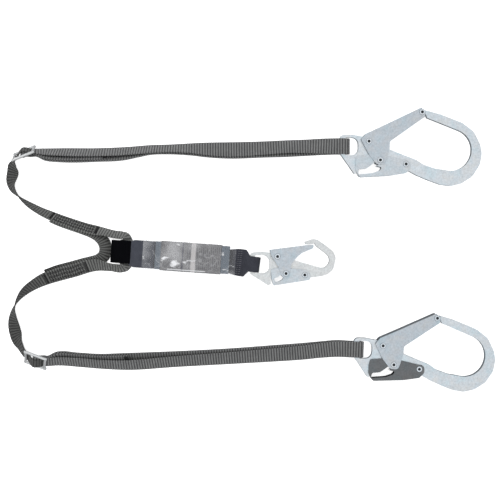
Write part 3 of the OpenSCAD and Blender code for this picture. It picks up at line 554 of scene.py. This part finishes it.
for name, leg, first, last in [("upper", 1, 7, 11), ("lower", -1, 7, 10)]:
    line, s, at, ends = leg_lines[name]
    start, stop = s[at[first]], s[at[last]]
    made = stitched(f"{name}_bridge_stitches", *joined(
        zigzag_rows(line, s, start + 0.004, stop - 0.004, leg, 0.0036, (-0.007, 0.0, 0.007),
                    0.0028),
        bar_tack(line, s, start, leg, tack_length, 15),
        bar_tack(line, s, stop, leg, tack_length, 15)),
        thread_radius)
    made.data.materials.append(thread_black)
    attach(made, "lanyard")
    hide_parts(name + "_junction_stitching")
    stop = s[-1] - tack_inset
    made = stitched(f"{name}_end_stitches", *joined(
        bar_tack(line, s, stop, -leg, end_tack_length, 26, 0.022),
        zigzag_rows(line, s, s[at[ends[5]]] + 0.012, stop - 0.006, -leg, centres=(0.0,))),
        thread_radius * 1.15)
    made.data.materials.append(thread_black)
    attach(made, "lanyard")
    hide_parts(name + "_tail_stitching")

# ---- the absorber's own frame --------------------------------------------------------
# The absorber pack lies a little askew. Its pieces are drawn from the left end of its
# clear sleeve, along it, across it and up from its middle height.
low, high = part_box("clear_sleeve")
pack_centre = np.array([(low[i] + high[i]) / 2 for i in range(3)])
pack_yaw = np.radians(-4.0)
sleeve_length = 0.147
pack_height = high[2] - low[2]
pack_width = 0.044
pack_thick = 0.0022
# The legs lie tilted inside the absorber's loop, and the loop clears them by its room.
leg_tilt_inside, loop_room = np.radians(35.0), 0.0008
loop_inside = (leg_width / 2 * np.sin(leg_tilt_inside)
               + leg_thick / 2 * np.cos(leg_tilt_inside) + loop_room)
nose_x = -0.039
core_from, core_to = 0.0188, sleeve_length - 0.022


def in_pack(points):
    """Points of the absorber's own frame, turned and moved to where it lies."""
    p = np.array(points, float)
    x, y = p[..., 0] - sleeve_length / 2, p[..., 1]
    c, d = np.cos(pack_yaw), np.sin(pack_yaw)
    moved = np.stack([x * c - y * d, x * d + y * c, p[..., 2]], -1)
    return moved + pack_centre - whole_shift


def side_view(path, slew=0.0, at=(0.0, 0.0)):
    """Stations of webbing seen from its side: a line of [along, height] that lies across the
    pack, turned flat by a slew about a point."""
    p = np.array(path, float)
    a = np.radians(slew)
    x, y = at[0] + p[:, 0] * np.cos(a), at[1] + p[:, 0] * np.sin(a)
    place = in_pack(np.stack([x, y, p[:, 1]], 1))
    c = pack_yaw + a
    return np.hstack([place, np.tile([-np.sin(c), np.cos(c), 0.0], (len(p), 1))])


def half_turn(centre, radius, start, stop, count=17):
    """Points on an arc about a centre, between two angles in degrees."""
    a = np.radians(np.linspace(start, stop, count))
    return np.stack([centre[0] + radius * np.cos(a), centre[1] + radius * np.sin(a)], 1)


def ease(x, low, high):
    """From 0 to 1 with a smooth start and stop."""
    t = np.clip((x - low) / (high - low), 0, 1)
    return t * t * (3 - 2 * t)


# ---- the folded tear webbing ---------------------------------------------------------
# Seven layers of blue-grey webbing, folded back and forth, that tear apart in a fall. The
# top layer shows through the clear sleeve at both ends of the label and ends over the
# snap hook's loop.
film_thick = 0.0004
label_thick = 0.0003
layers = 7
stack_tall = pack_height - 2 * (film_thick + label_thick + 0.0006)
layer_pitch = (stack_tall - pack_thick) / (layers - 1)
fold = layer_pitch / 2 + pack_thick / 2
fine_pitch = 0.0016

path = []
for i in range(layers):
    z = i * layer_pitch - stack_tall / 2 + pack_thick / 2
    last = core_to + 0.012 if i == layers - 1 else core_to - fold
    xs = np.linspace(core_from + fold, last, 60)
    path.append(np.stack([xs if i % 2 == 0 else xs[::-1], np.full(60, z)], 1))
    if i < layers - 1:
        centre = (core_to - fold if i % 2 == 0 else core_from + fold, z + layer_pitch / 2)
        turn = half_turn(centre, layer_pitch / 2, -90, 90, 11)[1:-1]
        if i % 2:
            turn[:, 0] = 2 * centre[0] - turn[:, 0]
        path.append(turn)
line = side_view(np.vstack(path))
s = lengths(line)
rings, across = strap_rings(line, pack_width, pack_thick * 0.92, s, fine_pitch, 0.00008)
tear_cloth = weave_finish("blue_grey_webbing", rgb(0.15, 0.18, 0.215), rgb(0.09, 0.11, 0.135),
                          fine_pitch, yarn=0.0009, patch=0.12)
core = skin("tear_webbing", rings, along=s[:, None], across=across)
core.data.materials.append(tear_cloth)
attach(core, "lanyard")
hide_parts("absorber_core")

# ---- the absorber's loop round the legs ----------------------------------------------
# The tear webbing's end, folded round the leg webbing. It comes out of the sleeve at full
# width and is gathered at the fold, so it has soft puckers lengthwise.
loop_radius = loop_inside + pack_thick / 2
path = np.vstack([
    np.stack([np.linspace(core_from - 0.0005, nose_x, 60), np.full(60, loop_radius)], 1)[:-1],
    half_turn((nose_x, 0.0), loop_radius, 90, 270, 33),
    np.stack([np.linspace(nose_x, core_from - 0.0005, 60), np.full(60, -loop_radius)], 1)[1:]])
line = side_view(path)
s = lengths(line)
gather = ease(-path[:, 0], 0.012, 0.028)
width = 0.0434 - 0.0138 * gather


def loop_pucker(s, across):
    """Puckers along the loop: a cosine across it that grows towards the gathered fold."""
    middle = s[-1] / 2
    near = np.exp(-((abs(s - middle) - 0.036) / 0.014) ** 2)
    return -0.0006 * near * (1 + np.cos(across * 2 * np.pi / 0.0105))


rings, across = strap_rings(line, width, pack_thick * 0.9, s, fine_pitch, 0.00008, loop_pucker)
loop_cloth = weave_finish("loop_webbing", rgb(0.09, 0.096, 0.118), rgb(0.024, 0.027, 0.036),
                          fine_pitch, yarn=0.0009, patch=0.35)
leg_loop = skin("leg_loop", rings, along=s[:, None], across=across)
leg_loop.data.materials.append(loop_cloth)
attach(leg_loop, "lanyard")
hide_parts("absorber_leg_loop")

# ---- the wear pad --------------------------------------------------------------------
# A black woven pad wrapped round the absorber's loop where the legs pull on it, with a
# turned hem along both edges.
pad_thick = 0.0012
pad_radius = loop_inside + pack_thick + 0.0003 + pad_thick / 2
path = np.vstack([
    np.stack([np.linspace(-0.019, nose_x, 40), np.full(40, pad_radius)], 1)[:-1],
    half_turn((nose_x, 0.0), pad_radius, 90, 270, 41),
    np.stack([np.linspace(nose_x, -0.019, 40), np.full(40, -pad_radius)], 1)[1:]])
line = side_view(path, at=(0.0, 0.0015))
s = lengths(line)


def pad_hem(s, across):
    """A hem that stands up by about a fifth of a millimetre near both edges, and shallow
    creases: one sine along times another across."""
    hem = np.exp(-((abs(across) - 0.0155) / 0.0012) ** 2)
    crease = np.sin(s * 420) * np.sin(across * 260 + 1.0)
    return 0.00022 * hem + 0.0001 * crease


rings, across = strap_rings(line, 0.036, pad_thick, s, 0.0013, 0.00006, pad_hem)
pad_cloth = weave_finish("black_pad", rgb(0.0035, 0.0037, 0.005), rgb(0.001, 0.001, 0.0014),
                         0.0013, sheen=0.0, yarn=0.0009, shine=0.05)
pad = skin("wear_pad", rings, along=s[:, None], across=across)
pad.data.materials.append(pad_cloth)
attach(pad, "lanyard")
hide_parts("keeper_pad")

# ---- the absorber's loop round the snap hook -----------------------------------------
# Darker webbing that leaves the sleeve flat, is stitched through in short rows, and is
# folded in at its edges to pass through the snap hook's eye.
hook_loop_at = (sleeve_length - 0.0035, -0.0019)
hook_loop_slew = -3.5
bar_at = 0.0304
fold_inside = 0.0056
fold_radius = fold_inside + pack_thick / 2
flat_z = pack_thick / 2 + 0.0002
upper_half = [(-0.015, flat_z), (bar_at - 0.019, flat_z), (bar_at - 0.017, flat_z + 0.0005),
              (bar_at - 0.0105, fold_radius - 0.0004), (bar_at - 0.008, fold_radius),
              (bar_at + 0.002, fold_radius)]


def dense(points, step=0.0008):
    """A smooth line through a few [along, height] points."""
    p = np.array(points, float)
    flat = np.hstack([p[:, :1], np.zeros((len(p), 1)), p[:, 1:], np.zeros((len(p), 3))])
    return smooth(flat, step)[0][:, [0, 2]]


top = dense(upper_half)
path = np.vstack([top, half_turn((bar_at + 0.004, 0.0), fold_radius, 90, -90, 41),
                  (top * (1, -1))[::-1]])
line = side_view(path, hook_loop_slew, hook_loop_at)
s = lengths(line)
taper = np.clip((path[:, 0] - bar_at + 0.0122) / 0.0072, 0, 1)
width = 2 * (0.0178 + (0.0216 - 0.0178) * ease(path[:, 0], -0.015, 0.01)) - 0.0184 * taper


def loop_curl(s, across):
    """Ripples across the loop where it is folded in: a cosine across it that fades out along."""
    middle = s[-1] / 2
    near = np.exp(-((abs(s - middle) - 0.022) / 0.01) ** 2)
    return 0.00045 * near * (np.cos(across * 2 * np.pi / 0.011) - 1) * 0.5


rings, across = strap_rings(line, width, pack_thick * 0.92, s, fine_pitch, 0.00012, loop_curl)
navy_cloth = weave_finish("navy_webbing", rgb(0.066, 0.069, 0.086), rgb(0.014, 0.015, 0.021),
                          fine_pitch, yarn=0.0009, patch=0.3)
hook_loop = skin("snap_loop", rings, along=s[:, None], across=across)
hook_loop.data.materials.append(navy_cloth)
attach(hook_loop, "lanyard")
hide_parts("absorber_hook_loop")

# Its stitching: two columns of short stitches, one row every few millimetres.
thread_grey, tree, shader = finish("grey_thread", 0.6)
fray = noise(tree, node(tree, "TexCoord").outputs["Object"], 2500.0, 2.0)
colour = blend_colours(tree, "MIX", fray, rgb(0.1, 0.1, 0.12), rgb(0.2, 0.2, 0.22))
tree.links.new(colour, shader.inputs["Base Color"])
rows = np.linspace(-0.0175, 0.0175, 12)
slew = np.radians(hook_loop_slew)
starts, stops = [], []
for x in (0.0052, 0.0092):
    for side, kept in ((x, starts), (x + 0.0031, stops)):
        z = np.full(len(rows), 2 * flat_z + 0.00005)
        kept.append(np.stack([hook_loop_at[0] + side * np.cos(slew) - rows * np.sin(slew),
                              hook_loop_at[1] + side * np.sin(slew) + rows * np.cos(slew), z], 1))
starts, stops = in_pack(np.vstack(starts)), in_pack(np.vstack(stops))
loop_stitches = stitched("snap_loop_stitches", starts, stops,
                         np.tile([0.0, 0.0, 1.0], (len(starts), 1)), 0.0004)
loop_stitches.data.materials.append(thread_grey)
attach(loop_stitches, "lanyard")
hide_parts("hook_loop_stitching")

# ---- the label -----------------------------------------------------------------------
# A printed film wrapped round the tear webbing under the sleeve. Its printing is plain
# ruled bars in columns across it, with one dark rule; a pale band across it is a painted
# highlight.
label_from, label_to = 0.0285, sleeve_length - 0.023


def round_box(width, tall, radius, count):
    """Points evenly spaced round a rectangle with round corners."""
    w, h = width / 2 - radius, tall / 2 - radius
    a = np.radians(np.arange(0, 91, 9))
    arc = radius * np.stack([np.cos(a), np.sin(a)], 1)
    turned = [arc + (w, h), arc[:, ::-1] * (-1, 1) + (-w, h), -arc + (-w, -h),
              arc[:, ::-1] * (1, -1) + (w, -h)]
    outline = np.vstack(turned + [turned[0][:1]])
    d = np.concatenate([[0], np.cumsum(np.linalg.norm(np.diff(outline, axis=0), axis=1))])
    where = np.arange(count) / count * d[-1]
    return np.stack([np.interp(where, d, outline[:, i]) for i in range(2)], 1), where


def crinkle(x, round_at, seed, waves=9):
    """Creases in thin film: a sum of folded sines at seeded angles, from 0 to 1."""
    rng = np.random.default_rng(seed)
    total = np.zeros(np.broadcast(x, round_at).shape)
    for _ in range(waves):
        angle, length, phase = rng.uniform(0, np.pi), rng.uniform(0.009, 0.03), rng.uniform(0, 6.3)
        across = x * np.cos(angle) + round_at * np.sin(angle)
        total = total + 1 - abs(np.sin(across * np.pi / length + phase)) ** 0.5
    return total / waves


def film_tube(name, start, stop, inset, wall, rise, seed, steps=110, count=150):
    """A tube of film round the pack: the pack's rounded outline, pushed out by creases."""
    shape, where = round_box(pack_width + 0.004 - 2 * inset, pack_height - 2 * inset,
                             0.0026 - inset, count)
    x = np.linspace(start, stop, steps)
    out = np.stack([shape[:, 0] / (pack_width / 2), shape[:, 1] / (pack_height / 2)], 1)
    out /= np.linalg.norm(out, axis=1)[:, None]
    push = rise * crinkle(x[:, None], where[None, :], seed)
    yz = shape[None] + out[None] * push[..., None]
    points = in_pack(np.stack([np.broadcast_to(x[:, None], yz.shape[:2]), yz[..., 0],
                               yz[..., 1]], -1)) + whole_shift
    made = skin(name, points, capped=False, along=x[:, None], across=shape[None, :, 0])
    solid = made.modifiers.new("wall", "SOLIDIFY")
    solid.thickness = wall
    solid.offset = 0.0
    return made


label_print, tree, shader = finish("ruled_label", 0.45)
along = node(tree, "Attribute", attribute_name="along").outputs["Fac"]
across = node(tree, "Attribute", attribute_name="across").outputs["Fac"]
where = node(tree, "TexCoord").outputs["Object"]


def band(tree, value, start, stop):
    """1 between two values and 0 outside them."""
    return sums(tree, "MULTIPLY", sums(tree, "GREATER_THAN", value, start),
                sums(tree, "LESS_THAN", value, stop))


column = sums(tree, "GREATER_THAN",
              sums(tree, "FRACT", sums(tree, "MULTIPLY", along, 1 / 0.0031)), 0.62)
gap_at = node(tree, "CombineXYZ", {0: sums(tree, "SNAP", along, 0.0031),
                                   1: sums(tree, "MULTIPLY", across, 0.45)}).outputs[0]
dash = sums(tree, "GREATER_THAN", noise(tree, gap_at, 420.0, 1.0), 0.44)
inside = band(tree, across, -0.0185, 0.0185)
printed = sums(tree, "MULTIPLY", sums(tree, "MULTIPLY", column, dash), inside)
blank = sums(tree, "ADD", band(tree, along, 0.0635, 0.0695), band(tree, along, 0.0745, 0.0845))
printed = sums(tree, "MULTIPLY", printed, sums(tree, "SUBTRACT", 1.0, blank))
label_colour_and_highlight = blend_colours(tree, "MIX", noise(tree, where, 45.0, 2.0), rgb(0.085, 0.085, 0.092),
                      rgb(0.23, 0.226, 0.23))
# A painted highlight: a pale band across the label.
label_colour_and_highlight = blend_colours(tree, "MIX", band(tree, along, 0.0765, 0.0835), label_colour_and_highlight,
                      rgb(0.46, 0.44, 0.44))
label_colour_and_highlight = blend_colours(tree, "MIX", sums(tree, "MULTIPLY", printed, 0.75), label_colour_and_highlight,
                      rgb(0.05, 0.05, 0.06))
label_colour_and_highlight = blend_colours(tree, "MIX", band(tree, along, 0.0622, 0.0643), label_colour_and_highlight,
                      rgb(0.02, 0.02, 0.04))
tree.links.new(label_colour_and_highlight, shader.inputs["Base Color"])
label = film_tube("ruled_label", label_from, label_to, 0.00085, label_thick, 0.0, 3)
label.data.materials.append(label_print)
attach(label, "lanyard")
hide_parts("label_wrap")

# ---- the clear sleeve ----------------------------------------------------------------
# Heat-shrunk clear film over the pack, creased all over and a little hazy. White is painted
# into it as highlights: along its creases, in glints, in one glare patch and in a line near an
# edge.
clear_film, tree, shader = finish("clear_film", 0.12)
shader.inputs["IOR"].default_value = 1.5
shader.inputs["Specular IOR Level"].default_value = 1.0
shader.inputs["Base Color"].default_value = rgb(0.95, 0.96, 0.98)
where = node(tree, "TexCoord").outputs["Object"]
bent = noise(tree, where, 26.0, 2.0, 0.5)
# Painted highlight: the film is whiter along its creases.
crease_highlight = sums(tree, "ABSOLUTE", sums(tree, "SUBTRACT", bent, 0.5))
crease_highlight = node(tree, "MapRange", {"Value": crease_highlight, "From Min": 0.0, "From Max": 0.014,
                                "To Min": 0.16, "To Max": 0.0}).outputs[0]
milk = node(tree, "MapRange", {"Value": noise(tree, where, 22.0, 2.0), "From Min": 0.5,
                               "From Max": 0.72, "To Min": 0.04, "To Max": 0.2}).outputs[0]
along = node(tree, "Attribute", attribute_name="along").outputs["Fac"]
across = node(tree, "Attribute", attribute_name="across").outputs["Fac"]
streak = node(tree, "CombineXYZ", {0: sums(tree, "MULTIPLY", along, 0.55), 1: across}).outputs[0]
# Painted glints: small white streaks in the film.
painted_glint = node(tree, "MapRange", {"Value": noise(tree, streak, 75.0, 2.0, 0.6), "From Min": 0.63,
                                "From Max": 0.74, "To Min": 0.0, "To Max": 0.85}).outputs[0]
haze_and_highlights = sums(tree, "MAXIMUM", sums(tree, "MAXIMUM", crease_highlight, milk), painted_glint)
# A painted glare: a white patch with a ragged edge.
from_painted_glare = node(tree, "VectorMath", {0: node(tree, "CombineXYZ", {
    0: sums(tree, "MULTIPLY", sums(tree, "SUBTRACT", along, 0.051), 90.0),
    1: sums(tree, "MULTIPLY", sums(tree, "ADD", across, 0.0105), 130.0)}).outputs[0]},
    operation="LENGTH").outputs["Value"]
ragged = sums(tree, "MULTIPLY", noise(tree, streak, 160.0, 3.0, 0.6), 1.6)
painted_glare = node(tree, "MapRange", {"Value": sums(tree, "ADD", from_painted_glare, ragged), "From Min": 1.1,
                                "From Max": 1.6, "To Min": 0.8, "To Max": 0.0}).outputs[0]
# A painted highlight: a white line along one lower edge of the sleeve.
rim_highlight = sums(tree, "MULTIPLY", band(tree, across, -0.0212, -0.0196), band(tree, along, 0.04, 0.1))
haze_and_highlights = sums(tree, "MAXIMUM", haze_and_highlights, sums(tree, "MAXIMUM", painted_glare,
                                          sums(tree, "MULTIPLY", rim_highlight, 0.5)))
tree.links.new(haze_and_highlights, shader.inputs["Alpha"])
bump = node(tree, "Bump", {"Height": bent, "Strength": 0.6, "Distance": 0.003})
tree.links.new(bump.outputs["Normal"], shader.inputs["Normal"])
sleeve = film_tube("film_sleeve", 0.0, sleeve_length, 0.0002, film_thick, 0.0011, 11)
sleeve.data.materials.append(clear_film)
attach(sleeve, "lanyard")
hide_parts("clear_sleeve")

# ---- the steel -----------------------------------------------------------------------
# Forged hook bodies, pressed gates and levers, rivets, springs and the slides' bars, all
# bright zinc plated. Forgings, plates and rivets have broken edges; bars and wire are round.
# The plating has cloudy blue and straw tints.


def zinc(name, base, roughness, tint=0.5, grit=0.0, cloud=55.0, hollow_shade=False):
    """Bright zinc plate: cloudy tints from blue to straw over a grey, uneven gloss, and for a
    forging a fine gritty surface. A rivet has painted shade down its hollow."""
    made, tree, shader = finish(name, roughness, 1.0)
    where = node(tree, "TexCoord").outputs["Object"]
    tints = node(tree, "ValToRGB", {"Fac": noise(tree, where, cloud, 4.0, 0.65)})
    ramp = tints.color_ramp
    ramp.elements[0].position, ramp.elements[1].position = 0.3, 0.72
    ramp.elements[0].color = rgb(0.80, 0.94, 1.0)
    ramp.elements[1].color = rgb(1.0, 0.96, 0.93)
    ramp.elements.new(0.5).color = rgb(0.93, 0.96, 1.0)
    colour = blend_colours(tree, "MIX", tint, rgb(1, 1, 1), tints.outputs["Color"])
    fine = noise(tree, where, 330.0, 4.0, 0.7)
    speck = node(tree, "MapRange", {"Value": fine, "From Min": 0.3, "From Max": 0.7,
                                    "To Min": 0.85, "To Max": 1.12}).outputs[0]
    # Painted shade: the rivet's hollow is darkened to a small fraction of its colour.
    if hollow_shade:
        hollow = node(tree, "Attribute", attribute_name="hollow_shade").outputs["Fac"]
        kept = sums(tree, "SUBTRACT", 1.0, sums(tree, "MULTIPLY", hollow, 0.93))
        speck = sums(tree, "MULTIPLY", speck, kept)
    grey = node(tree, "CombineColor", {0: speck, 1: speck, 2: speck}).outputs[0]
    colour = blend_colours(tree, "MULTIPLY", 1.0, colour, grey)
    colour = blend_colours(tree, "MULTIPLY", 1.0, colour, rgb(*base))
    tree.links.new(colour, shader.inputs["Base Color"])
    gloss = node(tree, "MapRange", {"Value": noise(tree, where, 130.0, 3.0),
                                    "To Min": roughness - 0.08, "To Max": roughness + 0.14})
    tree.links.new(gloss.outputs[0], shader.inputs["Roughness"])
    skin_bump = sums(tree, "ADD", sums(tree, "MULTIPLY", fine, 0.4 + grit),
                     sums(tree, "MULTIPLY", noise(tree, where, 220.0, 2.0), 0.6 + grit))
    bump = node(tree, "Bump", {"Height": skin_bump, "Strength": 0.5 + grit, "Distance": 0.0005})
    tree.links.new(bump.outputs["Normal"], shader.inputs["Normal"])
    return made


def metal_piece(name, source, material, edge, body, steps=3, angle=38):
    """A CAD solid with its loose faces merged, its flat faces made whole and its edges broken."""
    mesh = frame["nodes"][source].data.copy()
    mesh.materials.clear()
    while mesh.attributes.get("custom_normal"):
        mesh.attributes.remove(mesh.attributes["custom_normal"])
    made = bpy.data.objects.new(name, mesh)
    bpy.context.scene.collection.objects.link(made)
    work = bmesh.new()
    work.from_mesh(mesh)
    bmesh.ops.remove_doubles(work, verts=work.verts, dist=0.000004)
    bmesh.ops.dissolve_limit(work, angle_limit=np.radians(0.6), verts=work.verts, edges=work.edges,
                             delimit=set())
    work.to_mesh(mesh)
    work.free()
    mesh.polygons.foreach_set("use_smooth", np.ones(len(mesh.polygons), bool))
    mesh.set_sharp_from_angle(angle=np.radians(angle))
    mesh.materials.append(material)
    if edge:
        broken = made.modifiers.new("broken_edges", "BEVEL")
        broken.width = edge
        broken.segments = steps
        broken.limit_method = "ANGLE"
        broken.angle_limit = np.radians(angle)
        broken.use_clamp_overlap = True
        broken.harden_normals = True
        broken.miter_outer = "MITER_ARC"
    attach(made, body)
    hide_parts(source)
    return made


def mark_hollow(mesh, axis, reach=0.0021, sunk=0.00015):
    """Marks the faces down a rivet's hollow, where the finish paints shade: nearer to its axis
    than a reach, and sunk below its highest face."""
    points = np.empty(len(mesh.vertices) * 3)
    mesh.vertices.foreach_get("co", points)
    points = points.reshape(-1, 3)
    centre = (points.min(0) + points.max(0)) / 2
    middles = np.array([p.center for p in mesh.polygons]) - centre
    height = middles @ axis
    out = np.linalg.norm(middles - height[:, None] * axis, axis=1)
    deep = (out < reach) & (abs(height) < abs(height).max() - sunk)
    mark = mesh.attributes.new("hollow_shade", "FLOAT", "FACE")
    mark.data.foreach_set("value", deep.astype(np.float32))


body_zinc = zinc("forged_zinc", (0.8, 0.845, 0.87), 0.36, tint=0.8)
plate_zinc = zinc("plate_zinc", (0.63, 0.675, 0.71), 0.34, tint=0.8)
lever_zinc = zinc("lever_zinc", (0.71, 0.755, 0.785), 0.36, tint=0.7)
dark_lever_zinc = zinc("dark_lever_zinc", (0.2, 0.205, 0.21), 0.4)
cast_zinc = zinc("cast_zinc", (0.88, 0.9, 0.9), 0.42, tint=0.2, grit=0.5, cloud=90.0)
rivet_zinc = zinc("rivet_zinc", (0.78, 0.83, 0.87), 0.24, hollow_shade=True)
slide_zinc = zinc("slide_zinc", (0.84, 0.85, 0.85), 0.42, tint=0.15)
slide_zinc.node_tree.nodes["Principled BSDF"].inputs["Metallic"].default_value = 0.65
wire_steel = zinc("wire_steel", (0.33, 0.33, 0.34), 0.35, tint=0.1)

for name in ("upper", "lower"):
    metal_piece(name + "_slide_frame", name + "_slide", slide_zinc, 0, "lanyard")

for name in ("upper", "lower", "snap"):
    big = name != "snap"
    hook, gate, lever = name + "_hook", name + "_gate", name + "_lever"
    metal_piece(name + "_forged_body", name + "_hook_body", body_zinc if big else cast_zinc,
                0.0016 if big else 0.0011, hook)
    metal_piece(name + "_pressed_gate", name + "_hook_gate", plate_zinc, 0.0008, gate,
                2)
    metal_piece(name + "_lock_lever", name + "_hook_lever",
                dark_lever_zinc if name == "lower" else lever_zinc, 0.0008, lever,
                2)
    pins = [("gate_rivet", gate), ("lock_pin", gate), ("lever_rivet", lever)]
    for pin, body in pins + ([("tip_rivet", gate)] if big else []):
        rivet = metal_piece(f"{name}_{pin}_head", f"{name}_{pin}", rivet_zinc, 0.0003, body,
                            2, 30)
        mark_hollow(rivet.data, np.array(joint_of[name + "_gate_open"]["axis"]))
    metal_piece(name + "_gate_coil", name + "_gate_spring", wire_steel, 0, gate)
    coil = metal_piece(name + "_lever_coil", name + "_lever_spring", wire_steel, 0, hook)
    low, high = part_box(name + "_lever_spring")
    top = (low + high) / 2
    top[1] = high[1]
    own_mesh(coil)
